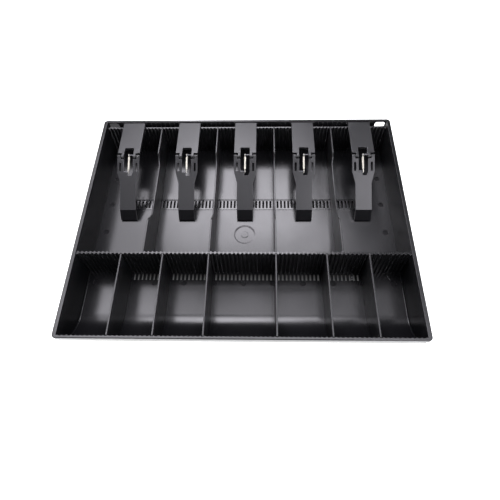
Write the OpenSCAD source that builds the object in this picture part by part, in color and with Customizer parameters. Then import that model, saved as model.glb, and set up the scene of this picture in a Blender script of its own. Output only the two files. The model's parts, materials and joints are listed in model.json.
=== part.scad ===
// Cash drawer insert: a moulded tray with lift-out dividers and sprung bill clips.
// Millimetres. X is the width, +Y runs to the back, Z is up from the underside.
// The origin is the middle of the underside.

/* [Tray] */
// Width over the rim
tray_w = 368; // [352:1:380]
// Depth over the rim
tray_d = 292; // [284:1:304]
// Height from the underside to the top of the rim
tray_h = 48; // [45:0.5:54]
// Thickness of the floor
floor_t = 2.5; // [2:0.1:3]
// Thickness of the walls under the rim
wall_t = 2.5; // [2:0.1:3]
// Width of the rim at front and back, from its outer edge to the inner wall face
rim_w = 3.5; // [3.2:0.1:4.5]
// Width of the rim at the sides
rim_side_w = 4.5; // [3.2:0.1:6]
// Height of the rim bead
rim_h = 5; // [3:0.5:7]
// Radius of the rim's corners in plan
corner_r = 4.5; // [3:0.5:8]
// Rounding of the rim's outer top edge
rim_round = 1.2; // [0.5:0.1:2]
// Radius of the scoop at the front of the coin bays
scoop_r = 40; // [34:0.5:41]

/* [Coin bays and cross wall] */
// Clear depth of the coin bays, front wall to cross wall
coin_d = 90.5; // [84:0.5:96]
// Thickness of the cross wall over its teeth
cross_t = 3.8; // [3.4:0.1:5]
// How far the cross wall's top lies under the rim
cross_drop = 1; // [0.5:0.1:3]
// Fall of that top from the coin bays to the bill bays
cross_fall = 0.3; // [0.1:0.1:0.8]
// Grooves of the coin dividers in the cross wall, counted from the middle
coin_steps = [-29, -19, -8, 8, 20, 30]; // [-39:1:39]

/* [Combs] */
// Pitch of the toothed walls and of the floor slots
comb_pitch = 4.5; // [4.2:0.1:5]
// Width of a groove at its bottom
groove_w = 1.9; // [1.8:0.05:2.2]
// Width of a groove at its mouth
groove_mouth = 2.8; // [2.4:0.1:3.2]
// Depth of a groove
groove_d = 1.2; // [1:0.1:1.3]
// Height of the grooves at the front wall
front_comb_h = 12; // [8:0.5:16]
// Depth of those grooves
front_groove_d = 0.6; // [0.5:0.1:1.2]

/* [Rear rail] */
// Thickness of the toothed rail in front of the back wall
rail_t = 3; // [2.6:0.1:4]
// How far the rail's top lies under the rim
rail_drop = 4.9; // [4:0.1:6]
// Width of the slope along the rail's front top edge
rail_slope_w = 1.8; // [0.5:0.1:2.2]
// Drop of that slope at the rail's face
rail_slope_h = 0.3; // [0.2:0.1:1]
// Width of the channel between rail and back wall
channel_w = 4.1; // [3.8:0.1:5]
// Pitch of the small ribs on the back wall
rib_pitch = 6; // [5:0.5:8]
// Width of one of those ribs
rib_w = 1.2; // [0.8:0.1:1.6]
// How far a rib stands out of the back wall
rib_d = 1.2; // [0.8:0.1:1.2]
// Width of the opening in the back wall at each corner
corner_gap_w = 12.6; // [8:0.2:16]
// Height of that opening
corner_gap_h = 10; // [7:0.5:12]

/* [Floor slots] */
// Length of a slot in the bill floor
bill_slot_l = 10.8; // [8:0.1:12]
// Length of a slot in the coin floor
coin_slot_l = 8.2; // [6:0.1:9]
// Width of the slots
slot_w = 2.1; // [1.9:0.05:2.4]
// Slots on each side of the middle
slot_n = 32; // [31:1:35]
// Distance from the rail's face to the middle of the bill slots
bill_slot_back = 91.3; // [85:0.1:96]
// Height of the raised strip that holds the bill slots
strip_h = 0.6; // [0.4:0.1:0.8]
// Width of that strip
strip_w = 16.2; // [15:0.1:18]
// How far the strip runs past its last slot
strip_end = 5; // [3:0.5:8]

/* [Dividers] */
// Thickness of every divider
divider_t = 1.6; // [1.4:0.05:1.7]
// How far the bill dividers' ends lie under the rim
bill_div_drop = 3; // [2:0.1:5]
// Depth of the saddle in the top edge of a bill divider
saddle_drop = 12.5; // [8:0.5:16]
// Length of the high rear end of a bill divider
rear_high_l = 43.5; // [36:0.5:50]
// Length of the high front end of a bill divider
front_high_l = 43; // [36:0.5:50]
// Length of the slope at the rear end of the saddle
rear_slope_l = 9; // [6:0.5:14]
// Length of the slope at the front end of the saddle
front_slope_l = 15; // [8:0.5:20]
// Grooves between two bill dividers
bill_steps = 16; // [15:1:16]

/* [Bill clips] */
// Width of the clip over strap and ears
clip_w = 27; // [26:0.5:30]
// Length of the strap, from its rear end to its shoulders
strap_l = 50.6; // [46:0.1:54]
// Distance from the shoulders to the hinge axis
hinge_out = 4; // [3.6:0.1:4.6]
// Width of the slot that the spring runs in
spring_slot_w = 11.5; // [10:0.5:12]
// Depth of that slot in the strap
strap_notch_l = 8.5; // [6:0.5:10]
// Width of a prong beside the slot
prong_w = 2.9; // [2.5:0.1:3.1]
// Side play between prong and ear
ear_play = 1.3; // [0.8:0.1:1.4]
// Radius of a hinge stub
stub_r = 1.2; // [1:0.05:1.3]
// Radial clearance of the hinge
hinge_fit = 0.05; // [0.03:0.01:0.08]
// Slope of the arm when its tip rests on the floor, in degrees
arm_slope = 28; // [24:1:30]
// Thickness of the arm
arm_t = 2.2; // [1.8:0.1:2.4]
// Height of the arm's top face over the hinge axis
arm_rise = 1.6; // [1.3:0.1:1.8]
// Distance from hinge axis to the bend of the arm
arm_l = 66; // [62:0.2:70]
// Width of the narrow front of the arm
arm_tip_w = 19.5; // [16:0.5:21]
// How much further down the tip is bent, in degrees
tip_bend = 27; // [20:1:34]
// Distance from hinge axis to the arm's spring peg
arm_peg_l = 18.7; // [17.8:0.1:19.6]
// Width of the leg behind the rail
leg_w = 18; // [14:0.5:22]
// Length of that leg
leg_l = 13; // [8:0.5:20]

/* [Springs] */
// Wire thickness of a clip spring
wire_d = 0.6; // [0.5:0.05:0.6]
// Radius of the coil at the middle of the wire
coil_r = 0.95; // [0.9:0.05:1.4]
// Distance from one curl to the next
coil_pitch = 1.1; // [1.1:0.01:1.12]
// Number of curls of one spring
curls = 14; // [10:1:14]
// Radius of an end loop at the middle of the wire
loop_r = 1.65; // [1.6:0.05:1.7]

/* [Hidden] */

// Small named clearances and overlaps
cut = 1;             // how far a cutter runs past the face it cuts
end_gap = 0.3;       // divider end to groove bottom
seat_gap = 0.2;      // divider to the floor it stands on
tip_gap = 0.3;       // clip tip to the floor
join = 0.3;          // how far a peg, rib or stub runs into its carrier
rim_gap = 0.8;       // strap's top under the rim
strap_gap = 0.2;     // strap's rear end to the ribs
leg_play = 0.2;      // clip leg to rail and ribs
tab_play = 0.4;      // divider tab to each end of its slot

// Tray faces, in the part's frame
in_x = tray_w / 2 - rim_side_w;
out_x = in_x + wall_t;
front_in = -tray_d / 2 + rim_w;
front_out = front_in - wall_t;
back_in = tray_d / 2 - rim_w;
back_out = back_in + wall_t;
coin_back = front_in + coin_d;
bill_front = coin_back + cross_t;
rail_back = back_in - channel_w;
rail_face = rail_back - rail_t;
rail_top = tray_h - rail_drop;
scoop_y = front_in + scoop_r;
scoop_z = floor_t + scoop_r;

// Combs and slots
edge_land = 2;       // plain wall left beside the last groove
comb_n = floor((in_x - edge_land) / comb_pitch);
comb_end = (comb_n + 1 / 2) * comb_pitch;
comb_lap = 3;        // how far a comb cutter reaches into its bay
bill_slot_y = rail_face - bill_slot_back;
coin_slot_gap = 1.2; // cross wall to the near end of a coin slot
coin_slot_y = coin_back - coin_slot_gap - coin_slot_l / 2;
strip_slope = 1.5;   // width of the strip's sloped rear edge
strip_nose = 0.4;    // width of its steeper front edge
rib_foot = 28;       // height at which the back wall's ribs start
rib_head = 2;        // how far the ribs end under the rim
ribs_each = 27;      // ribs on each side of the middle
gap_head = 2.4;      // top of a corner opening under the rim
gap_side = 1.2;      // side wall to a corner opening
gap_r = 3;           // corner radius of that opening

// Round marks of the ejector pins in the floor
pin_r = 3.2;
pin_depth = 0.9;
pin_edge = 9.5;      // side wall to the marks of the bill floor
pin_gap = 0.5;       // coin slots to the marks of the coin floor
bill_pin_pitch = 41;
coin_pin_pitch = 34;
coin_pins = 5;       // marks on each side of the middle

// Gate mark in the middle of the bill floor
gate_r = 13.5;
gate_slope = 2.6;    // width of the dish's sloped edge
gate_depth = 0.45;
boss_r = 5;          // foot of the low boss in its middle
boss_slope = 1.5;
boss_h = 0.3;
pit_r = 1.1;         // where the gate was broken off

// Dividers
bill_pitch = bill_steps * comb_pitch;
divider_foot = floor_t + seat_gap;
bill_high = tray_h - bill_div_drop;
bill_low = bill_high - saddle_drop;
bill_end_front = bill_front - groove_d + end_gap;
bill_end_back = rail_face + groove_d - end_gap;
tab_foot = 0.4;      // divider tabs stop this far over the underside
coin_top = tray_h - cross_drop;

// Bill clips
clip_top = tray_h - rim_gap;
clip_t = clip_top - rail_top;
strap_back = back_in - rib_d - strap_gap;
strap_front = strap_back - strap_l;
axis_y = strap_front - hinge_out;
axis_z = rail_top + clip_t / 2;
knuckle_r = clip_t / 2;
prong_in = spring_slot_w / 2;
prong_out = prong_in + prong_w;
ear_in = prong_out + ear_play;
notch_r = 1.5;       // corners of the spring slot in the strap
pocket_d = 2;        // hollow under the strap
pocket_edge = 2.5;   // wall left around that hollow
peg_r = 0.6;
peg_past = 1.2;      // pegs end this far past the spring's middle
peg_back = 2.9;      // base peg behind the hinge axis
peg_down = 0.7;      // base peg under the hinge axis
arm_peg_up = 0.2;    // arm peg over the hinge axis, across the arm
arm_wide_l = 19.7;   // end of the arm's full width
arm_taper_l = 33.3;  // start of the arm's narrow front
arm_slot_l = 24;     // end of the spring slot in the arm
slot_corner_w = 1.8; // cut corner at the end of that slot
slot_corner_l = 4.6;
shelf_gap = 1.3;     // arm's plate beside the peg starts this far past the peg
hook_room = 1;       // room for the loop beside that plate
prong_room = 3.4;    // arm's plate starts this far from the axis
flex_in = 8.7;       // slots that let the ears spring over the stubs
flex_out = 11.4;
flex_start = 7.7;
flex_end = 18.5;
arm_tip_angle = arm_slope + tip_bend;
tip_drop = axis_z - arm_l * sin(arm_slope) + arm_rise * cos(arm_slope)
    - arm_t * cos(arm_tip_angle) - floor_t - tip_gap;
tip_l = tip_drop / sin(arm_tip_angle);

// Springs
loop_play = 0.15;    // base loop to the peg that it pulls on
arm_loop_shift = 0.3; // arm loop's middle past the arm peg at rest
arm_loop_long = 1.2; // straight part of the arm loop, for the peg's way along it
wire_sides = 6;
curl_rings = 8;
loop_rings = 9;
loop_start = 65;     // loop angle at which the wire leaves for the coil
loop_stop = 320;     // loop angle of the free end

round_fn = 96;
small_fn = 32;

function clip_x(i) = (i - 3) * bill_pitch;
function bill_divider_x(i) = (i - 2.5) * bill_pitch;
function coin_divider_x(i) = coin_steps[i - 1] * comb_pitch;
function reversed(list) = [for (i = [len(list) - 1 : -1 : 0]) list[i]];

// One edge of a comb along X at a given y, grooves cut towards depth
function comb_edge(y, depth) = [
    for (n = [-comb_n : comb_n])
        for (p = [[-groove_mouth, 0], [-groove_w, depth], [groove_w, depth], [groove_mouth, 0]])
            [n * comb_pitch + p[0] / 2, y + p[1]]];

// Turns a Y, Z outline into a solid of width w in the middle of X
module across(w) {
    rotate([90, 0, 90])
        translate([0, 0, -w / 2])
            linear_extrude(w)
                children();
}

// Rectangle with true arcs at its corners, centred
module round_rect(w, d, r) {
    square([w - 2 * r, d], center = true);
    square([w, d - 2 * r], center = true);
    for (x = [-1, 1])
        for (y = [-1, 1])
            translate([x * (w / 2 - r), y * (d / 2 - r)])
                circle(r, $fn = round_fn);
}

module box_between(x0, x1, y0, y1, z0, z1) {
    translate([x0, y0, z0])
        cube([x1 - x0, y1 - y0, z1 - z0]);
}

// Side outline of the tray or of the coin bays: flat floor and scooped front
module scooped(r, front, back, foot, top) {
    translate([scoop_y, foot])
        square([back - scoop_y, top - foot]);
    translate([front, scoop_z])
        square([back - front, top - scoop_z]);
    intersection() {
        translate([scoop_y, scoop_z])
            circle(r, $fn = round_fn);
        translate([front, foot])
            square([scoop_y - front, scoop_z - foot]);
    }
}

// Plan of the bill bay with grooves at both ends
module bill_plan() {
    polygon(concat(
        [[-in_x, bill_front]],
        comb_edge(bill_front, -groove_d),
        [[in_x, bill_front], [in_x, rail_face]],
        reversed(comb_edge(rail_face, groove_d)),
        [[-in_x, rail_face]]));
}

// Plan of a comb cutter: a strip inside the bay with its grooves at y
module comb_plan(y, side, depth) {
    polygon(concat(
        [[-comb_end, y - side * comb_lap], [-comb_end, y]],
        comb_edge(y, side * depth),
        [[comb_end, y], [comb_end, y - side * comb_lap]]));
}

module tray_block() {
    difference() {
        union() {
            intersection() {
                across(2 * out_x)
                    scooped(scoop_r + floor_t, front_out, back_out, 0, tray_h);
                linear_extrude(tray_h)
                    round_rect(2 * out_x, back_out - front_out, corner_r - rim_w + wall_t);
            }
            translate([0, 0, tray_h - rim_h])
                linear_extrude(rim_h)
                    round_rect(tray_w, tray_d, corner_r);
        }
        rim_rounding();
    }
}

// Cutters that round the rim's outer top edge, one side and one corner at a time
module rim_rounding() {
    for (k = [0 : 3]) {
        w = k % 2 == 0 ? tray_w : tray_d;
        l = (k % 2 == 0 ? tray_d : tray_w) - 2 * corner_r;
        rotate([0, 0, 90 * k]) {
            translate([w / 2, l / 2, tray_h])
                rotate([90, 0, 0])
                    linear_extrude(l)
                        edge_profile();
            translate([w / 2 - corner_r, l / 2, tray_h])
                rotate_extrude(angle = 90, $fn = round_fn)
                    translate([corner_r, 0])
                        edge_profile();
        }
    }
}

module edge_profile() {
    difference() {
        translate([-rim_round, -rim_round])
            square(rim_round + cut);
        translate([-rim_round, -rim_round])
            circle(rim_round, $fn = small_fn);
    }
}

module tray_bays() {
    translate([0, 0, floor_t])
        linear_extrude(tray_h)
            bill_plan();
    across(2 * in_x)
        scooped(scoop_r, front_in, coin_back, floor_t, tray_h + cut);
    translate([0, 0, floor_t])
        linear_extrude(tray_h)
            comb_plan(coin_back, 1, groove_d);
    translate([0, 0, tray_h - front_comb_h])
        linear_extrude(front_comb_h + cut)
            comb_plan(front_in, -1, front_groove_d);
    // Top of the cross wall, which falls a little towards the bill bays
    across(2 * in_x)
        polygon([
            [coin_back - cut, tray_h + cut],
            [coin_back - cut, coin_top + cross_fall * cut / cross_t],
            [bill_front + cut, coin_top - cross_fall * (1 + cut / cross_t)],
            [bill_front + cut, tray_h + cut]]);
    // Slope along the rail's front top edge
    across(2 * in_x)
        polygon([
            [rail_face - cut, rail_top + cut],
            [rail_face - cut, rail_top - rail_slope_h * (1 + cut / rail_slope_w)],
            [rail_face + rail_slope_w, rail_top],
            [rail_face + rail_slope_w, rail_top + cut]]);
    // Channel behind the rail, and the room over the rail
    box_between(-in_x, in_x, rail_back, back_in, floor_t, tray_h + cut);
    box_between(-in_x, in_x, rail_face - cut, back_in, rail_top, tray_h + cut);
}

module slot_row(y, l) {
    for (n = [-slot_n : slot_n])
        translate([n * comb_pitch - slot_w / 2, y - l / 2, -cut])
            cube([slot_w, l, floor_t + strip_h + 2 * cut]);
}

module corner_openings() {
    z = tray_h - gap_head - corner_gap_h / 2;
    for (side = [-1, 1])
        translate([side * (in_x - gap_side - corner_gap_w / 2), tray_d / 2 + cut, z])
            rotate([90, 0, 0])
                linear_extrude(rim_w + 2 * cut)
                    round_rect(corner_gap_w, corner_gap_h, gap_r);
}

module wall_ribs() {
    for (n = [0 : ribs_each - 1])
        for (side = [-1, 1])
            translate([side * (n + 0.5) * rib_pitch - rib_w / 2, back_in - rib_d, rib_foot])
                cube([rib_w, rib_d + join, tray_h - rib_head - rib_foot]);
}

// Raised strip with sloped edges across the bill floor
module slot_strip() {
    half = strip_w / 2;
    across(2 * (slot_n * comb_pitch + strip_end))
        polygon([
            [bill_slot_y - half, floor_t - join],
            [bill_slot_y - half, floor_t],
            [bill_slot_y - half + strip_nose, floor_t + strip_h],
            [bill_slot_y + half - strip_slope, floor_t + strip_h],
            [bill_slot_y + half, floor_t],
            [bill_slot_y + half, floor_t - join]]);
}

// Cutter of the gate mark: a shallow dish around a low boss, with a small pit
module gate_mark() {
    translate([0, 0, floor_t - gate_depth]) {
        difference() {
            cylinder(r1 = gate_r - gate_slope, r2 = gate_r + gate_slope * cut / gate_depth,
                h = gate_depth + cut, $fn = round_fn);
            translate([0, 0, -cut])
                cylinder(r1 = boss_r + boss_slope * cut / boss_h, r2 = boss_r - boss_slope,
                    h = boss_h + cut, $fn = round_fn);
        }
        cylinder(r = pit_r, h = gate_depth + cut, $fn = small_fn);
    }
}

module pin_marks() {
    for (n = [-coin_pins : coin_pins])
        pin_mark(n * coin_pin_pitch, coin_slot_y - coin_slot_l / 2 - pin_gap - pin_r);
    for (side = [-1, 1])
        for (n = [-1 : 1])
            pin_mark(side * (in_x - pin_edge), bill_slot_y + n * bill_pin_pitch);
}

module pin_mark(x, y) {
    translate([x, y, floor_t - pin_depth])
        cylinder(r = pin_r, h = pin_depth + cut, $fn = small_fn);
}

module tray() {
    color([0.07, 0.07, 0.075])
        difference() {
            union() {
                difference() {
                    tray_block();
                    tray_bays();
                }
                wall_ribs();
                slot_strip();
            }
            slot_row(bill_slot_y, bill_slot_l);
            slot_row(coin_slot_y, coin_slot_l);
            corner_openings();
            gate_mark();
            pin_marks();
        }
}

module bill_divider(i) {
    strip_room = strip_w / 2 + end_gap;
    strip_foot = divider_foot + strip_h;
    tab = bill_slot_l / 2 - tab_play;
    rear = bill_end_back - rear_high_l;
    front = bill_end_front + front_high_l;
    color([0.08, 0.08, 0.085])
        translate([bill_divider_x(i), 0, 0])
            across(divider_t)
                polygon([
                    [bill_end_front, divider_foot],
                    [bill_slot_y - strip_room, divider_foot],
                    [bill_slot_y - strip_room + strip_nose, strip_foot],
                    [bill_slot_y - tab, strip_foot],
                    [bill_slot_y - tab, tab_foot],
                    [bill_slot_y + tab, tab_foot],
                    [bill_slot_y + tab, strip_foot],
                    [bill_slot_y + strip_room - strip_slope, strip_foot],
                    [bill_slot_y + strip_room, divider_foot],
                    [bill_end_back, divider_foot],
                    [bill_end_back, bill_high],
                    [rear, bill_high],
                    [rear - rear_slope_l, bill_low],
                    [front + front_slope_l, bill_low],
                    [front, bill_high],
                    [bill_end_front, bill_high]]);
}

module coin_divider(i) {
    rear = coin_back + groove_d - end_gap;
    nose = front_in - front_groove_d + end_gap;
    nose_foot = tray_h - front_comb_h + end_gap;
    tab = coin_slot_l / 2 - tab_play;
    color([0.08, 0.08, 0.085])
        translate([coin_divider_x(i), 0, 0])
            across(divider_t)
                difference() {
                    union() {
                        scooped(scoop_r - seat_gap, front_in + seat_gap, rear, divider_foot, coin_top);
                        translate([nose, nose_foot])
                            square([2 * groove_d, coin_top - nose_foot]);
                        translate([coin_slot_y - tab, tab_foot])
                            square([2 * tab, divider_foot + cut - tab_foot]);
                    }
                    translate([nose, coin_top])
                        mirror([1, 0])
                            edge_profile();
                }
}

// Spring slot in the strap, with round corners at its rear end
module notch_plan() {
    translate([-prong_in, strap_front - cut])
        square([2 * prong_in, strap_notch_l + cut - notch_r]);
    translate([notch_r - prong_in, strap_front])
        square([2 * (prong_in - notch_r), strap_notch_l]);
    for (side = [-1, 1])
        translate([side * (prong_in - notch_r), strap_front + strap_notch_l - notch_r])
            circle(notch_r, $fn = small_fn);
}

module strap_plate() {
    difference() {
        box_between(-clip_w / 2, clip_w / 2, strap_front, strap_back, rail_top, clip_top);
        translate([0, 0, rail_top - cut])
            linear_extrude(clip_t + 2 * cut)
                notch_plan();
        box_between(-clip_w / 2 + pocket_edge, clip_w / 2 - pocket_edge,
            strap_front + strap_notch_l + pocket_edge, rail_face - pocket_edge,
            rail_top - cut, rail_top + pocket_d);
    }
}

// Prong with its hinge stub, on one side of the clip
module prong() {
    box_between(prong_in, prong_out, axis_y, strap_front + join, rail_top, clip_top);
    translate([prong_in, axis_y, axis_z])
        rotate([0, 90, 0])
            cylinder(r = knuckle_r, h = prong_w, $fn = small_fn);
    translate([prong_out - join, axis_y, axis_z])
        rotate([0, 90, 0])
            cylinder(r = stub_r, h = clip_w / 2 - prong_out + join, $fn = small_fn);
}

// Peg that holds a spring loop: from one wall of the slot to just past the spring
module peg(y, z, side) {
    translate([side > 0 ? -peg_past : -prong_in - join, y, z])
        rotate([0, 90, 0])
            cylinder(r = peg_r, h = prong_in + join + peg_past, $fn = small_fn);
}

module clip_base(i) {
    color([0.13, 0.13, 0.135])
        translate([clip_x(i), 0, 0])
            union() {
                strap_plate();
                // Leg that drops into the channel behind the rail
                box_between(-leg_w / 2, leg_w / 2, rail_back + leg_play,
                    back_in - rib_d - leg_play, rail_top - leg_l, rail_top + join);
                for (side = [0, 1])
                    mirror([side, 0, 0])
                        prong();
                peg(axis_y + peg_back, axis_z - peg_down, 1);
            }
}

// Outline of the arm in plan, hinge axis at y = 0, tip towards -y
module arm_plan() {
    half = clip_w / 2;
    tip = arm_tip_w / 2;
    reach = arm_l + tip_l + arm_t;
    difference() {
        polygon([
            [-half, 0], [-half, -arm_wide_l], [-tip, -arm_taper_l], [-tip, -reach],
            [tip, -reach], [tip, -arm_taper_l], [half, -arm_wide_l], [half, 0]]);
        // Spring slot: short beside the peg's root, longer with a cut corner opposite
        polygon([
            [-prong_in, cut], [-prong_in, -arm_peg_l - shelf_gap],
            [-hook_room, -arm_peg_l - shelf_gap], [-hook_room, -arm_slot_l],
            [prong_in - slot_corner_w, -arm_slot_l], [prong_in, slot_corner_l - arm_slot_l],
            [prong_in, cut]]);
        // Room for the prongs between the ears
        translate([-ear_in, -prong_room])
            square([2 * ear_in, prong_room + cut]);
        for (side = [0, 1])
            mirror([side, 0])
                translate([flex_in, -flex_end])
                    square([flex_out - flex_in, flex_end - flex_start]);
    }
}

// Side outline of the arm: straight plate and bent-down tip
module arm_side() {
    under = arm_rise - arm_t;
    tip_y = -arm_l - tip_l * cos(tip_bend);
    tip_z = arm_rise - tip_l * sin(tip_bend);
    polygon([
        [0, arm_rise], [0, under],
        [arm_t * tan(tip_bend / 2) - arm_l, under],
        [tip_y + arm_t * sin(tip_bend), tip_z - arm_t * cos(tip_bend)],
        [tip_y, tip_z],
        [-arm_l, arm_rise]]);
}

module ear(side) {
    translate([side > 0 ? ear_in : -clip_w / 2, 0, 0])
        rotate([0, 90, 0])
            cylinder(r = knuckle_r, h = clip_w / 2 - ear_in, $fn = small_fn);
}

module clip_arm(i) {
    depth = 2 * (arm_l + tip_l);
    color([0.1, 0.1, 0.105])
        translate([clip_x(i), axis_y, axis_z])
            rotate([arm_slope, 0, 0])
                difference() {
                    union() {
                        intersection() {
                            across(clip_w + 2 * cut)
                                arm_side();
                            translate([0, 0, -depth / 2])
                                linear_extrude(depth)
                                    arm_plan();
                        }
                        ear(-1);
                        ear(1);
                        peg(-arm_peg_l, arm_peg_up, -1);
                    }
                    translate([-clip_w, 0, 0])
                        rotate([0, 90, 0])
                            cylinder(r = stub_r + hinge_fit, h = 2 * clip_w, $fn = small_fn);
                }
}

// Spring: both pegs as Y, Z points, and the frame along the line between them
base_peg = [axis_y + peg_back, axis_z - peg_down];
arm_peg = [axis_y - arm_peg_l * cos(arm_slope) - arm_peg_up * sin(arm_slope),
    axis_z - arm_peg_l * sin(arm_slope) + arm_peg_up * cos(arm_slope)];
spring_l = norm(arm_peg - base_peg);
along = (arm_peg - base_peg) / spring_l;
lean = [-along[1], along[0]];
base_loop_at = loop_r - wire_d / 2 - peg_r - loop_play;
arm_loop_at = spring_l + arm_loop_shift;
coil_l = curls * coil_pitch;
coil_start = (base_loop_at + arm_loop_at - arm_loop_long - coil_l) / 2;

// A point of the wire: distance along the spring, height over its line, sideways
function wire_at(u, w, x) = [
    x,
    base_peg[0] + u * along[0] + w * lean[0],
    base_peg[1] + u * along[1] + w * lean[1]];

// End loop in the plane of the spring's swing, from free end to coil
function loop_points(at, side, long) = [
    for (k = [0 : loop_rings])
        let (a = loop_stop + (loop_start - loop_stop) * k / loop_rings)
            wire_at(at + side * (loop_r * cos(a) + (cos(a) > 0 ? long : 0)), loop_r * sin(a), 0)];
coil_points = [
    for (k = [0 : curls * curl_rings])
        let (a = 360 * k / curl_rings)
            wire_at(coil_start + coil_pitch * k / curl_rings, coil_r * cos(a), coil_r * sin(a))];
wire = concat(loop_points(base_loop_at, 1, 0), coil_points,
    reversed(loop_points(arm_loop_at, -1, arm_loop_long)));

function unit(v) = v / norm(v);
wire_dirs = [
    for (k = [0 : len(wire) - 1])
        unit(wire[min(k + 1, len(wire) - 1)] - wire[max(k - 1, 0)])];
// Cross direction carried along the wire without twist
wire_cross = [
    for (k = 0, n = [1, 0, 0]; k < len(wire);
        k = k + 1,
        n = k < len(wire) ? unit(n - (n * wire_dirs[k]) * wire_dirs[k]) : n)
        n];
wire_rings = [
    for (k = [0 : len(wire) - 1])
        for (s = [0 : wire_sides - 1])
            let (a = 360 * s / wire_sides, n = wire_cross[k])
                wire[k] + wire_d / 2 * (cos(a) * n + sin(a) * cross(wire_dirs[k], n))];
wire_skin = [
    for (k = [0 : len(wire) - 2])
        for (s = [0 : wire_sides - 1])
            let (a = k * wire_sides + s, b = k * wire_sides + (s + 1) % wire_sides)
                each [[a, b, b + wire_sides], [a, b + wire_sides, a + wire_sides]]];
last_ring = (len(wire) - 1) * wire_sides;
wire_caps = [
    for (s = [1 : wire_sides - 2])
        each [[0, s + 1, s], [last_ring, last_ring + s, last_ring + s + 1]]];

// Least gap of the wire to itself, leaving out its near neighbours
near_rings = 6;
wire_gap = min([
    for (i = [0 : len(wire) - 1 - near_rings])
        for (j = [i + near_rings : len(wire) - 1])
            norm(wire[i] - wire[j])]) - wire_d;
echo(spring_least_gap = wire_gap, spring_length = spring_l, tip_length = tip_l);

module clip_spring(i) {
    color([0.75, 0.75, 0.76])
        translate([clip_x(i), 0, 0])
            polyhedron(points = wire_rings, faces = concat(wire_skin, wire_caps));
}

tray();
bill_divider(1);  // bill_divider_1
bill_divider(2);  // bill_divider_2
bill_divider(3);  // bill_divider_3
bill_divider(4);  // bill_divider_4
coin_divider(1);  // coin_divider_1
coin_divider(2);  // coin_divider_2
coin_divider(3);  // coin_divider_3
coin_divider(4);  // coin_divider_4
coin_divider(5);  // coin_divider_5
coin_divider(6);  // coin_divider_6
clip_base(1);  // clip_base_1
clip_base(2);  // clip_base_2
clip_base(3);  // clip_base_3
clip_base(4);  // clip_base_4
clip_base(5);  // clip_base_5
clip_arm(1);  // clip_arm_1
clip_arm(2);  // clip_arm_2
clip_arm(3);  // clip_arm_3
clip_arm(4);  // clip_arm_4
clip_arm(5);  // clip_arm_5
clip_spring(1);  // clip_spring_1
clip_spring(2);  // clip_spring_2
clip_spring(3);  // clip_spring_3
clip_spring(4);  // clip_spring_4
clip_spring(5);  // clip_spring_5
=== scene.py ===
import json
import math

import bmesh
import bpy
from mathutils import Matrix, Vector


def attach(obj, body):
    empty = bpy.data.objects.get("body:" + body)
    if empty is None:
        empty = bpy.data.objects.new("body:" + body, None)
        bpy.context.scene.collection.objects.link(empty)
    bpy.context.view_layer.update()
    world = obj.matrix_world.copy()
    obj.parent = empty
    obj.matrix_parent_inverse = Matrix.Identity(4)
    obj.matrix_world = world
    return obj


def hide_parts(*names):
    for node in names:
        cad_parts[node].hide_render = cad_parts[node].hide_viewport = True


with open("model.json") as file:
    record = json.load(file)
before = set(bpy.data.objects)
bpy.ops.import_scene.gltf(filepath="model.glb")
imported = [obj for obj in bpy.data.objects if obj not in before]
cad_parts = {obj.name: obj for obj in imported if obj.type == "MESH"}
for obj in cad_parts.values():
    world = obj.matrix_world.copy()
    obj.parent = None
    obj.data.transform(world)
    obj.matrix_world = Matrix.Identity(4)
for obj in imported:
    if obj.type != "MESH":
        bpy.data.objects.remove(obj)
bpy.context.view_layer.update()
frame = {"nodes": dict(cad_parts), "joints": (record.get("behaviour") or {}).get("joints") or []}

# Tray: one shell of black ABS, injection moulded with a satin, finely grained
# skin. Its edges leave the mould slightly round, so a merged copy of the solid
# gets a small radius on each outer edge and a fillet at the side walls' feet.
TRAY_EDGE = 0.00035           # radius of the rim, the walls' tops and the teeth
FOOT_FILLET = 0.001           # inner radius where a side wall meets floor and scoop
SLOT_EDGE = 0.0002            # radius of the slots' top edges in the raised strip
MARK_EDGE = 0.00015           # radius of the ejector marks and the coin slots
SIDE_WALL = 0.1795            # inner face of a side wall, from the middle
END_WALL = 0.1425             # inner face of the back and the front wall
COIN_BACK = -0.052            # rear end of the coin bays
SCOOP_TOP = 0.0426
FLOOR_TOP, STRIP_TOP, PIN_FLOOR = 0.0025, 0.0031, 0.0016
RIM_UNDER = 0.043             # underside of the rim, left sharp
OPENING_X, OPENING_Z = 0.165, (0.035, 0.0456)   # inner side and height of a corner opening
NEAR = 0.00002                # lengths that differ by less count as equal


def linear(hex_code):
    """An sRGB hex colour as linear red, green, blue and alpha."""
    shares = [int(hex_code[k:k + 2], 16) / 255 for k in (1, 3, 5)]
    return [c / 12.92 if c <= 0.04045 else ((c + 0.055) / 1.055) ** 2.4 for c in shares] + [1.0]


def add_node(tree, kind, settings=None, inputs=None):
    """Adds one node, with its own settings and with values or links by socket name."""
    node = tree.nodes.new(kind)
    for field, value in (settings or {}).items():
        setattr(node, field, value)
    for name, value in (inputs or {}).items():
        if isinstance(value, bpy.types.NodeSocket):
            tree.links.new(value, node.inputs[name])
        else:
            node.inputs[name].default_value = value
    return node


ABS_IOR, ABS_SHINE = 1.53, 0.5
FLOW, PATCH = 0.045, 0.008    # lengths over which bloom, and the pale edges' wear and painted highlight, change
NOISE_SPAN = 0.3, 0.7         # most of a noise lies between these
GLOSS_DRIFT = -0.025, 0.035   # roughness along the flow
RUB_POLISH = -0.07            # roughness for each unit of rubbing
GRAIN_STRENGTH, GRAIN_DEPTH = 0.12, 0.00006


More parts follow.
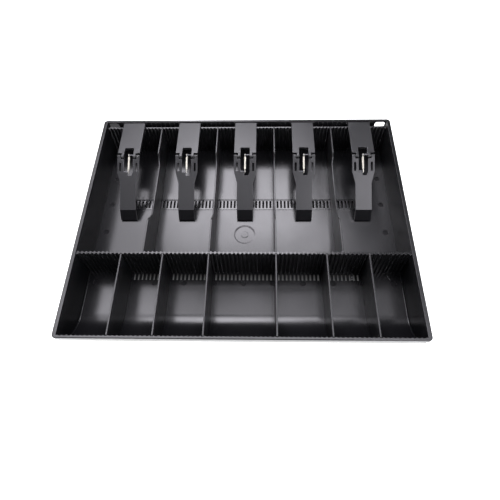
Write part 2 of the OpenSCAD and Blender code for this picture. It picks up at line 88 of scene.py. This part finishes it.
def moulded_abs(name, skin, bloom, worn_and_highlit_tone, gloss, grain, shine=ABS_SHINE):
    """Black ABS out of a textured mould: nearly black skin with a faint grey bloom
    where the melt flowed, gloss that drifts over a few centimetres, a fine grain
    that breaks up reflections, and faces with a share of rubbing drawn paler and
    smoother: wear, and in part a painted highlight. A coarse grain traps part of
    the gloss, so it has less shine and looks blacker."""
    material = bpy.data.materials.new(name)
    material.use_nodes = True
    tree = material.node_tree
    tree.nodes.clear()
    place = add_node(tree, "ShaderNodeTexCoord").outputs["Object"]
    rub_and_highlight = add_node(tree, "ShaderNodeAttribute", {"attribute_name": "rub_and_highlight"}).outputs["Fac"]
    flow = add_node(tree, "ShaderNodeTexNoise", None, {
        "Vector": place, "Scale": 1 / FLOW, "Detail": 3.0, "Roughness": 0.55}).outputs["Fac"]
    # The real grain of about 0.3 mm is drawn coarser, so that it shows
    fine = add_node(tree, "ShaderNodeTexNoise", None, {
        "Vector": place, "Scale": 1 / grain, "Detail": 2.0, "Roughness": 0.6}).outputs["Fac"]
    patch = add_node(tree, "ShaderNodeTexNoise", None, {
        "Vector": place, "Scale": 1 / PATCH, "Detail": 2.0}).outputs["Fac"]
    body = add_node(tree, "ShaderNodeMix", {"data_type": "RGBA"}, {
        "Factor": flow, "A": linear(skin), "B": linear(bloom)}).outputs["Result"]
    wear_and_highlight = add_node(tree, "ShaderNodeMath", {"operation": "MULTIPLY", "use_clamp": True}, {
        0: rub_and_highlight, 1: patch}).outputs["Value"]
    body_worn_and_highlit = add_node(tree, "ShaderNodeMix", {"data_type": "RGBA"}, {
        "Factor": wear_and_highlight, "A": body, "B": linear(worn_and_highlit_tone)}).outputs["Result"]
    sheen = add_node(tree, "ShaderNodeMapRange", None, {
        "Value": flow, "From Min": NOISE_SPAN[0], "From Max": NOISE_SPAN[1],
        "To Min": gloss + GLOSS_DRIFT[0], "To Max": gloss + GLOSS_DRIFT[1]}).outputs["Result"]
    polish = add_node(tree, "ShaderNodeMath", {"operation": "MULTIPLY_ADD"}, {
        0: rub_and_highlight, 1: RUB_POLISH, 2: sheen}).outputs["Value"]
    bump = add_node(tree, "ShaderNodeBump", None, {
        "Strength": GRAIN_STRENGTH, "Distance": GRAIN_DEPTH, "Height": fine}).outputs["Normal"]
    shader = add_node(tree, "ShaderNodeBsdfPrincipled", None, {
        "Base Color": body_worn_and_highlit, "Roughness": polish, "Specular IOR Level": shine,
        "Normal": bump, "IOR": ABS_IOR})
    add_node(tree, "ShaderNodeOutputMaterial", None, {"Surface": shader.outputs["BSDF"]})
    return material


GATE_REACH = 0.015            # round the whole gate mark, from the tray's middle
GATE_RUN, GATE_FALL = 0.001, 0.0005   # least run and most drop of its slopes


def on_gate_slope(one, two):
    """Whether an edge runs down one of the gate mark's slopes."""
    near, far = sorted((one.xy.length, two.xy.length))
    return far < GATE_REACH and far - near > GATE_RUN and 2 * NEAR < abs(one.z - two.z) < GATE_FALL


MERGE = 2e-6                  # corners this close are one
FLAT_TURN = math.radians(0.6)
HARD_TURN = math.radians(24)  # edges that turn more than this are rounded
CREASE_TURN = math.radians(12)
GATE_CUTS, EDGE_STEPS = 3, 2
WIDEST = FOOT_FILLET
COARSE = -2.5                 # rubbing below nothing: a coarser grain


def rounded_copy(node, material, radius_for, rub_for, coarse=None):
    """A merged copy of a CAD node with its hard edges rounded, in the node's place.
    The faces that round an edge get a share of rubbing as large as their upward
    lean, so edges that look up are drawn paler: partly wear, partly a painted
    highlight. rub_for gives the others' share. The faces with the least share get
    the coarse material. The gate mark's slopes are cut into bands, so that they
    shade softly from flat to slope and back."""
    shell = bmesh.new()
    shell.from_mesh(frame["nodes"][node].data)
    bmesh.ops.remove_doubles(shell, verts=shell.verts, dist=MERGE)
    bmesh.ops.dissolve_limit(shell, angle_limit=FLAT_TURN, verts=shell.verts, edges=shell.edges)
    spokes = [edge for edge in shell.edges if on_gate_slope(*(v.co for v in edge.verts))]
    bmesh.ops.subdivide_edges(shell, edges=spokes, cuts=GATE_CUTS, use_grid_fill=True)
    weights = shell.edges.layers.float.new("bevel_weight_edge")
    for edge in shell.edges:
        turn = edge.calc_face_angle(0.0)
        radius = radius_for(edge) if turn > HARD_TURN else 0.0
        edge[weights] = radius / WIDEST
        edge.smooth = radius > 0 or turn < CREASE_TURN
    for face in shell.faces:
        face.smooth = True
    mesh = bpy.data.meshes.new(node)
    shell.to_mesh(mesh)
    shell.free()
    mesh.materials.clear()
    # The second slot tells the faces that round an edge from the others
    for _ in range(2):
        mesh.materials.append(material)
    draft = bpy.data.objects.new(node, mesh)
    bpy.context.scene.collection.objects.link(draft)
    bevel = draft.modifiers.new("edges", "BEVEL")
    bevel.limit_method = "WEIGHT"
    bevel.width = WIDEST
    bevel.segments = EDGE_STEPS
    bevel.use_clamp_overlap = False
    bevel.material = 1
    even = draft.modifiers.new("even", "WEIGHTED_NORMAL")
    even.keep_sharp = True
    ready = bpy.context.evaluated_depsgraph_get()
    finished = bpy.data.meshes.new_from_object(draft.evaluated_get(ready))
    bpy.data.objects.remove(draft)
    # Rounding faces that look up are drawn paler: partly wear, partly a painted highlight
    rub_and_highlight = finished.attributes.new("rub_and_highlight", "FLOAT", "FACE")
    for face, share in zip(finished.polygons, rub_and_highlight.data):
        share.value = max(0.0, face.normal.z) if face.material_index == 1 else rub_for(face)
        face.material_index = int(coarse is not None and share.value <= COARSE)
    if coarse:
        finished.materials[1] = coarse
    else:
        finished.materials.pop(index=1)
    piece = bpy.data.objects.new("moulded_" + node, finished)
    bpy.context.scene.collection.objects.link(piece)
    return piece


def stand_for(piece, node, body):
    """The piece rides on the node's body and hides the node."""
    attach(piece, body)
    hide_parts(node)


def tray_radius(edge):
    """Radius of one edge of the tray: none under the floor and under the rim, and
    on inner corners only at the side walls' feet in the coin bays."""
    one, two = (v.co for v in edge.verts)
    high = max(one.z, two.z)
    if not edge.is_convex:
        on_wall = all(abs(abs(p.x) - SIDE_WALL) < NEAR for p in (one, two))
        in_coins = high < SCOOP_TOP and max(one.y, two.y) < COIN_BACK + NEAR
        return FOOT_FILLET if on_wall and in_coins and abs(one.y - two.y) > NEAR else 0.0
    if (high < NEAR and abs(one.x) < SIDE_WALL) or abs(high - RIM_UNDER) < NEAR:
        return 0.0
    if high < FLOOR_TOP + NEAR:
        return MARK_EDGE
    at_corner = abs(one.x) > OPENING_X and min(one.y, two.y) > END_WALL - NEAR
    if at_corner and OPENING_Z[0] < one.z and high < OPENING_Z[1]:
        return MARK_EDGE
    return SLOT_EDGE if high < STRIP_TOP + NEAR else TRAY_EDGE


STRIP_RUB, PIN_RUB = 0.8, -2.8
LEVEL, UPRIGHT = 0.99, 0.1    # upward share of a normal: least on a floor, most on a wall


def tray_rub(face):
    """Notes rub the raised strip, the ejector pins left duller discs, and upright
    faces inside keep a coarser grain than the floors."""
    level = face.center.z if face.normal.z > LEVEL else 0.0
    if abs(level - STRIP_TOP) < NEAR:
        return STRIP_RUB
    if abs(level - PIN_FLOOR) < NEAR:
        return PIN_RUB
    within = abs(face.center.x) < SIDE_WALL + NEAR and abs(face.center.y) < END_WALL + NEAR
    return COARSE if within and abs(face.normal.z) < UPRIGHT else 0.0


# The third tone is drawn on edges that look up: partly wear, partly a painted highlight
TRAY_TONES = "#0f0f11", "#18181a", "#2e2e30"
tray_abs = moulded_abs("ABS_satin_tray", *TRAY_TONES, gloss=0.205, grain=0.0009)
wall_abs = moulded_abs("ABS_coarse_wall", *TRAY_TONES, gloss=0.205, grain=0.0009, shine=0.15)
tray = rounded_copy("tray", tray_abs, tray_radius, tray_rub, wall_abs)
stand_for(tray, "tray", "tray")

# Dividers: thin flat plates of the same black ABS, loose in the grooves. Their
# top edges are touched every day and are a little smoother than the faces, and
# where they look up they are drawn paler: partly wear, partly a painted highlight.
DIVIDER_EDGE = 0.0003
PLATE_RUB = -1.5


def divider_radius(edge):
    return DIVIDER_EDGE if edge.is_convex else 0.0


def divider_rub(face):
    return PLATE_RUB if abs(face.normal.z) < UPRIGHT else 0.0


# The third tone is drawn on edges that look up: partly wear, partly a painted highlight
divider_abs = moulded_abs(
    "ABS_satin_divider", "#101012", "#1b1b1d", "#343436", gloss=0.27, grain=0.0009)
for name in frame["nodes"]:
    if "divider" in name:
        plate = rounded_copy(name, divider_abs, divider_radius, divider_rub)
        stand_for(plate, name, name)

# Bill clips: strap and arm of a slightly greyer ABS with a finer, duller grain.
# The strap lies on the rail with its leg behind it, and the arm's ears are
# snapped over the stubs of the strap's prongs.
CLIP_EDGE = 0.00025
CLIPS = 5
# The pegs' share of rubbing draws them pale and glossy: partly wear from the loops, partly a
# painted highlight
PEG_NEAR, PEG_RUB_AND_HIGHLIGHT = 0.00066, 3.0       # a little more than a peg's radius of 0.6 mm
ARM_SLOPE = math.radians(28)
PEG_REACH, PEG_RISE = 0.0187, 0.0002   # arm peg from the hinge axis, in the arm's own plane
joint_at = {joint["name"]: Vector(joint["pos_m"])
            for joint in frame["joints"] if joint["type"] == "hinge"}


def pegs(k):
    """Middles of the strap's and of the arm's spring peg, with the arm down."""
    turn = Matrix.Rotation(ARM_SLOPE, 3, "X")
    return (joint_at[f"clip_spring_{k}_swing"],
            joint_at[f"clip_arm_{k}_hinge"] + turn @ Vector((0.0, -PEG_REACH, PEG_RISE)))


def clip_radius(edge):
    return CLIP_EDGE if edge.is_convex else 0.0


def clip_peg_rub_and_highlight(face):
    """The spring's loops have polished the pegs, which are drawn pale: partly wear,
    partly a painted highlight.
    """
    at_peg = any((face.center - peg).yz.length < PEG_NEAR for peg in pegs(1))
    return PEG_RUB_AND_HIGHLIGHT if at_peg else 0.0


# The clips' third tone, pale grey, is drawn on pegs and on edges that look up: partly wear, partly
# a painted highlight
clip_abs = moulded_abs("ABS_fine_clip", "#18181a", "#212123", "#66666a", gloss=0.31, grain=0.0007)
for k in range(1, CLIPS + 1):
    strap = rounded_copy(f"clip_base_{k}", clip_abs, clip_radius, clip_peg_rub_and_highlight)
    stand_for(strap, f"clip_base_{k}", "tray")
    arm = rounded_copy(f"clip_arm_{k}", clip_abs, clip_radius, clip_peg_rub_and_highlight)
    stand_for(arm, f"clip_arm_{k}", f"clip_arm_{k}")

# Clip springs: close-wound extension springs of nickel-plated steel wire, made
# from one unbroken wire with a loop at each end. Each hooks over the strap's peg
# and the arm's peg and pulls the arm down.
WIRE_R, WIRE_SIDES = 0.0003, 10
COIL_R = 0.00095
COIL_PITCH = 0.00064
CURLS = 24
CURL_POINTS = 14
LOOP_R = 0.00165
LOOP_POINTS = 18
BASE_LOOP, ARM_LOOP = 0.0006, 0.0003   # loops' middles past their pegs
ARM_LOOP_LONG = 0.0012
LOOP_FROM, LOOP_TO = math.radians(320), math.radians(65)


def spring_points(k):
    """Middle of the wire from the base peg's loop to the arm peg's loop."""
    base_peg, arm_peg = pegs(k)
    reach = arm_peg - base_peg
    along = reach.normalized()
    lean = Vector((0.0, -along.z, along.y))
    side = Vector((1.0, 0.0, 0.0))

    def loop(at, way, straight):
        points = []
        for n in range(LOOP_POINTS + 1):
            a = LOOP_FROM + (LOOP_TO - LOOP_FROM) * n / LOOP_POINTS
            out = LOOP_R * math.cos(a) + (straight if math.cos(a) > 0 else 0.0)
            points.append(base_peg + along * (at + way * out) + lean * LOOP_R * math.sin(a))
        return points

    first, last = BASE_LOOP, reach.length + ARM_LOOP
    low = (first + last - ARM_LOOP_LONG - CURLS * COIL_PITCH) / 2
    coil = []
    for n in range(CURLS * CURL_POINTS + 1):
        a = 2 * math.pi * n / CURL_POINTS
        middle = base_peg + along * (low + COIL_PITCH * n / CURL_POINTS)
        coil.append(middle + lean * COIL_R * math.cos(a) + side * COIL_R * math.sin(a))
    return loop(first, 1, 0.0) + coil + loop(last, -1, ARM_LOOP_LONG)[::-1]


def wound_wire_tree():
    """Sweeps a round wire along a path of edges."""
    tree = bpy.data.node_groups.new("wound_wire", "GeometryNodeTree")
    for name, kind in (("Path", "Geometry"), ("Wire radius", "Float"),
                       ("Wire sides", "Int"), ("Finish", "Material")):
        tree.interface.new_socket(name, in_out="INPUT", socket_type="NodeSocket" + kind)
    tree.interface.new_socket("Wire", in_out="OUTPUT", socket_type="NodeSocketGeometry")
    given = add_node(tree, "NodeGroupInput").outputs
    path = add_node(tree, "GeometryNodeMeshToCurve", None, {"Mesh": given["Path"]})
    ring = add_node(tree, "GeometryNodeCurvePrimitiveCircle", None, {
        "Resolution": given["Wire sides"], "Radius": given["Wire radius"]})
    tube = add_node(tree, "GeometryNodeCurveToMesh", None, {
        "Curve": path.outputs["Curve"], "Profile Curve": ring.outputs["Curve"], "Fill Caps": True})
    smooth = add_node(tree, "GeometryNodeSetShadeSmooth", None, {"Geometry": tube.outputs["Mesh"]})
    real = add_node(tree, "GeometryNodeRealizeInstances", None, {
        "Geometry": smooth.outputs["Geometry"]})
    coated = add_node(tree, "GeometryNodeSetMaterial", None, {
        "Geometry": real.outputs["Geometry"], "Material": given["Finish"]})
    add_node(tree, "NodeGroupOutput", None, {"Wire": coated.outputs["Geometry"]})
    return tree


STAIN, DRAWING = 0.003, 0.0004         # lengths over which tarnish and gloss change
WIRE_GLOSS, NICKEL_METAL = (0.38, 0.5), 0.6


def nickel_wire():
    """Drawn steel wire with a bright nickel skin: soft gloss, fine drawing lines
    and a faint warm tarnish."""
    material = bpy.data.materials.new("Nickel_plated_spring_wire")
    material.use_nodes = True
    tree = material.node_tree
    tree.nodes.clear()
    place = add_node(tree, "ShaderNodeTexCoord").outputs["Object"]
    stain = add_node(tree, "ShaderNodeTexNoise", None, {
        "Vector": place, "Scale": 1 / STAIN, "Detail": 2.0}).outputs["Fac"]
    drawn = add_node(tree, "ShaderNodeTexNoise", None, {
        "Vector": place, "Scale": 1 / DRAWING, "Detail": 1.0}).outputs["Fac"]
    tone = add_node(tree, "ShaderNodeMix", {"data_type": "RGBA"}, {
        "Factor": stain, "A": linear("#f4f1e8"), "B": linear("#e4dfd2")}).outputs["Result"]
    gloss = add_node(tree, "ShaderNodeMapRange", None, {
        "Value": drawn, "From Min": NOISE_SPAN[0], "From Max": NOISE_SPAN[1],
        "To Min": WIRE_GLOSS[0], "To Max": WIRE_GLOSS[1]}).outputs["Result"]
    shader = add_node(tree, "ShaderNodeBsdfPrincipled", None, {
        "Base Color": tone, "Roughness": gloss, "Metallic": NICKEL_METAL})
    add_node(tree, "ShaderNodeOutputMaterial", None, {"Surface": shader.outputs["BSDF"]})
    return material


wire_tree = wound_wire_tree()
wire_finish = nickel_wire()
for k in range(1, CLIPS + 1):
    points = spring_points(k)
    path = bpy.data.meshes.new("spring_path")
    path.from_pydata(points, [(n, n + 1) for n in range(len(points) - 1)], [])
    draft = bpy.data.objects.new("spring_path", path)
    bpy.context.scene.collection.objects.link(draft)
    sweep = draft.modifiers.new("wire", "NODES")
    sweep.node_group = wire_tree
    given = {"Wire radius": WIRE_R, "Wire sides": WIRE_SIDES, "Finish": wire_finish}
    for item in wire_tree.interface.items_tree:
        if item.in_out == "INPUT" and item.name in given:
            sweep[item.identifier] = given[item.name]
    ready = bpy.context.evaluated_depsgraph_get()
    wire = bpy.data.meshes.new_from_object(draft.evaluated_get(ready))
    bpy.data.objects.remove(draft)
    spring = bpy.data.objects.new(f"wire_spring_{k}", wire)
    bpy.context.scene.collection.objects.link(spring)
    stand_for(spring, f"clip_spring_{k}", f"clip_spring_{k}")

# Studio: a white floor with a low round wall, both glowing a little, so that they
# show no hard shadows, and soft overhead panels. The brightest ones lie to the rear
# of the tray, where the floors of the note bays mirror them. The glow is painted
# light where it grows stronger in front of the tray. Under the tray and in a painted
# shadow to its left and rear the glow is gone, and a dark grey floor colour is painted shade.
FLOOR_Z = -0.0003
SWEEP_R, SWEEP_TOP, SWEEP_SIDES = 4.0, 1.6, 48
FLOOR_GLOW, FRONT_GLOW, GLOW_RISE = 1.0, 2.2, (-0.12, -0.16)
# Soft edges of the painted shade under the tray and of its painted shadow, each from dark to light
PAINTED_SHADE_SIDE, PAINTED_SHADE_REAR, PAINTED_SHADE_FRONT = (0.172, 0.184), (0.136, 0.15), (-0.0425, -0.15)
PAINTED_SHADOW_LEFT, PAINTED_SHADOW_RIGHT = (-0.199, -0.205), (-0.17, 0.1)
PAINTED_SHADOW_REAR, PAINTED_SHADOW_FRONT = (0.191, 0.197), (0.1, -0.08)


def floor_paint():
    """White sweep whose glow is painted light where it grows stronger in front. Under the
    tray it neither glows nor throws light back: a dark grey painted shade, as in the deep
    shade between a tray and its table, painted lighter towards the tray's front. A soft
    painted shadow of the tray lies to the left and the rear and is darkest at that corner."""
    material = bpy.data.materials.new("Matt_white_floor_painted_shade")
    material.use_nodes = True
    tree = material.node_tree
    tree.nodes.clear()
    place = add_node(tree, "ShaderNodeTexCoord").outputs["Object"]
    axes = add_node(tree, "ShaderNodeSeparateXYZ", None, {"Vector": place}).outputs
    width = add_node(tree, "ShaderNodeMath", {"operation": "ABSOLUTE"}, {
        0: axes["X"]}).outputs["Value"]

    def ramp(way, span, low=0.0, high=1.0):
        return add_node(tree, "ShaderNodeMapRange", {"interpolation_type": "SMOOTHSTEP"}, {
            "Value": way, "From Min": span[0], "From Max": span[1],
            "To Min": low, "To Max": high}).outputs["Result"]

    def join(operation, one, two):
        return add_node(tree, "ShaderNodeMath", {"operation": operation}, {
            0: one, 1: two}).outputs["Value"]

    # Masks: the floor is clear of the painted shade under the tray and of the painted shadow to
    # its left and rear
    ends = join("MAXIMUM", ramp(axes["Y"], PAINTED_SHADE_REAR), ramp(axes["Y"], PAINTED_SHADE_FRONT))
    beyond_painted_shade = join("MAXIMUM", ramp(width, PAINTED_SHADE_SIDE), ends)
    beside = join("MAXIMUM", ramp(axes["X"], PAINTED_SHADOW_LEFT), ramp(axes["X"], PAINTED_SHADOW_RIGHT))
    behind = join("MAXIMUM", ramp(axes["Y"], PAINTED_SHADOW_REAR), ramp(axes["Y"], PAINTED_SHADOW_FRONT))
    free = join("MINIMUM", beyond_painted_shade, join("MAXIMUM", beside, behind))
    # The glow is cut away in the painted shade and shadow, and painted stronger in front
    glow = join("MULTIPLY", free, ramp(axes["Y"], GLOW_RISE, FLOOR_GLOW, FRONT_GLOW))
    # The dark grey is painted shade and painted shadow; the near white is the floor's own colour
    tone = add_node(tree, "ShaderNodeMix", {"data_type": "RGBA"}, {
        "Factor": free, "A": linear("#202020"), "B": linear("#f5f5f5")}).outputs["Result"]
    shader = add_node(tree, "ShaderNodeBsdfPrincipled", None, {
        "Base Color": tone, "Roughness": 0.9,
        "Emission Color": linear("#ffffff"), "Emission Strength": glow})
    add_node(tree, "ShaderNodeOutputMaterial", None, {"Surface": shader.outputs["BSDF"]})
    return material


ground = bpy.data.meshes.new("floor")
turns = [2 * math.pi * n / SWEEP_SIDES for n in range(SWEEP_SIDES)]
around = [(SWEEP_R * math.cos(a), SWEEP_R * math.sin(a)) for a in turns]
wall = [(n, (n + 1) % SWEEP_SIDES, SWEEP_SIDES + (n + 1) % SWEEP_SIDES, SWEEP_SIDES + n)
        for n in range(SWEEP_SIDES)]
ground.from_pydata(
    [(x, y, z) for z in (FLOOR_Z, SWEEP_TOP) for x, y in around], [],
    [tuple(range(SWEEP_SIDES))] + wall)
ground.materials.append(floor_paint())
floor = bpy.data.objects.new("floor", ground)
bpy.context.scene.collection.objects.link(floor)

PANEL_Z = 1.28
PANEL_TINT = 0.95, 0.93, 1.0
# Each panel: its edges across and along, and the brightness of its face
for name, across, along, radiance in (
        ("far_core_panel", (-0.29, 0.20), (1.05, 1.26), 9.9),
        ("core_panel", (-0.29, 0.27), (0.86, 1.05), 12.0),
        ("front_core_panel", (-0.40, 0.38), (0.69, 0.86), 9.2),
        ("near_core_panel", (-0.40, 0.08), (0.59, 0.69), 3.2),
        ("near_right_panel", (0.08, 0.38), (0.59, 0.69), 5.4),
        ("left_panel", (-0.85, -0.40), (0.45, 0.86), 4.2),
        ("left_front_panel", (-0.85, -0.40), (0.30, 0.45), 8.2),
        ("left_rear_panel", (-0.58, -0.29), (0.86, 1.255), 9.2),
        ("far_left_panel", (-0.85, -0.58), (0.86, 1.255), 4.0),
        ("rear_panel", (-0.42, -0.12), (1.255, 1.42), 7.8),
        ("middle_panel", (-0.40, 0.12), (0.30, 0.44), 4.8),
        ("middle_right_panel", (0.12, 0.38), (0.30, 0.44), 2.8),
        ("right_panel", (0.38, 0.90), (0.30, 0.80), 0.9),
        ("rim_panel", (-0.85, 0.70), (0.04, 0.30), 5.5),
        ("front_panel", (-0.75, 0.30), (-0.70, -0.25), 1.6),
        ("front_right_panel", (0.36, 0.95), (-0.70, -0.25), 9.4)):
    lamp = bpy.data.lights.new(name, "AREA")
    lamp.shape = "RECTANGLE"
    lamp.size, lamp.size_y = across[1] - across[0], along[1] - along[0]
    lamp.energy = radiance * math.pi * lamp.size * lamp.size_y
    lamp.color = PANEL_TINT
    panel = bpy.data.objects.new(name, lamp)
    panel.location = (sum(across) / 2, sum(along) / 2, PANEL_Z)
    panel.visible_camera = False
    bpy.context.scene.collection.objects.link(panel)

SKY_STRENGTH = 0.16
world = bpy.data.worlds.new("studio")
world.use_nodes = True
sky = world.node_tree.nodes["Background"].inputs
sky["Color"].default_value = linear("#c9ccd2")
sky["Strength"].default_value = SKY_STRENGTH
bpy.context.scene.world = world
bpy.context.scene.view_settings.view_transform = "Standard"

# Camera: placed by a fit of the rim's corners, the rows of grooves and slots and
# the walls' feet, for a picture of 500 by 500.
CAMERA_AT = Vector((0.021078, -0.275228, 0.4501))
PITCH, YAW, ROLL = math.radians(60.424), math.radians(3.216), math.radians(-2.647)
FOCAL_PIXELS, PICTURE_PIXELS, SENSOR = 432.643, 500, 36.0
NEAREST_SEEN = 0.01

level_right = Vector((math.cos(YAW), math.sin(YAW), 0.0))
forward = Vector((
    -math.sin(YAW) * math.cos(PITCH), math.cos(YAW) * math.cos(PITCH), -math.sin(PITCH)))
level_up = level_right.cross(forward)
right = level_right * math.cos(ROLL) + level_up * math.sin(ROLL)
up = level_up * math.cos(ROLL) - level_right * math.sin(ROLL)
lens = bpy.data.cameras.new("camera")
lens.sensor_width = SENSOR
lens.lens = SENSOR * FOCAL_PIXELS / PICTURE_PIXELS
lens.clip_start = NEAREST_SEEN
camera = bpy.data.objects.new("camera", lens)
camera.matrix_world = Matrix((
    (right.x, up.x, -forward.x, CAMERA_AT.x),
    (right.y, up.y, -forward.y, CAMERA_AT.y),
    (right.z, up.z, -forward.z, CAMERA_AT.z),
    (0.0, 0.0, 0.0, 1.0)))
bpy.context.scene.collection.objects.link(camera)
bpy.context.scene.camera = camera
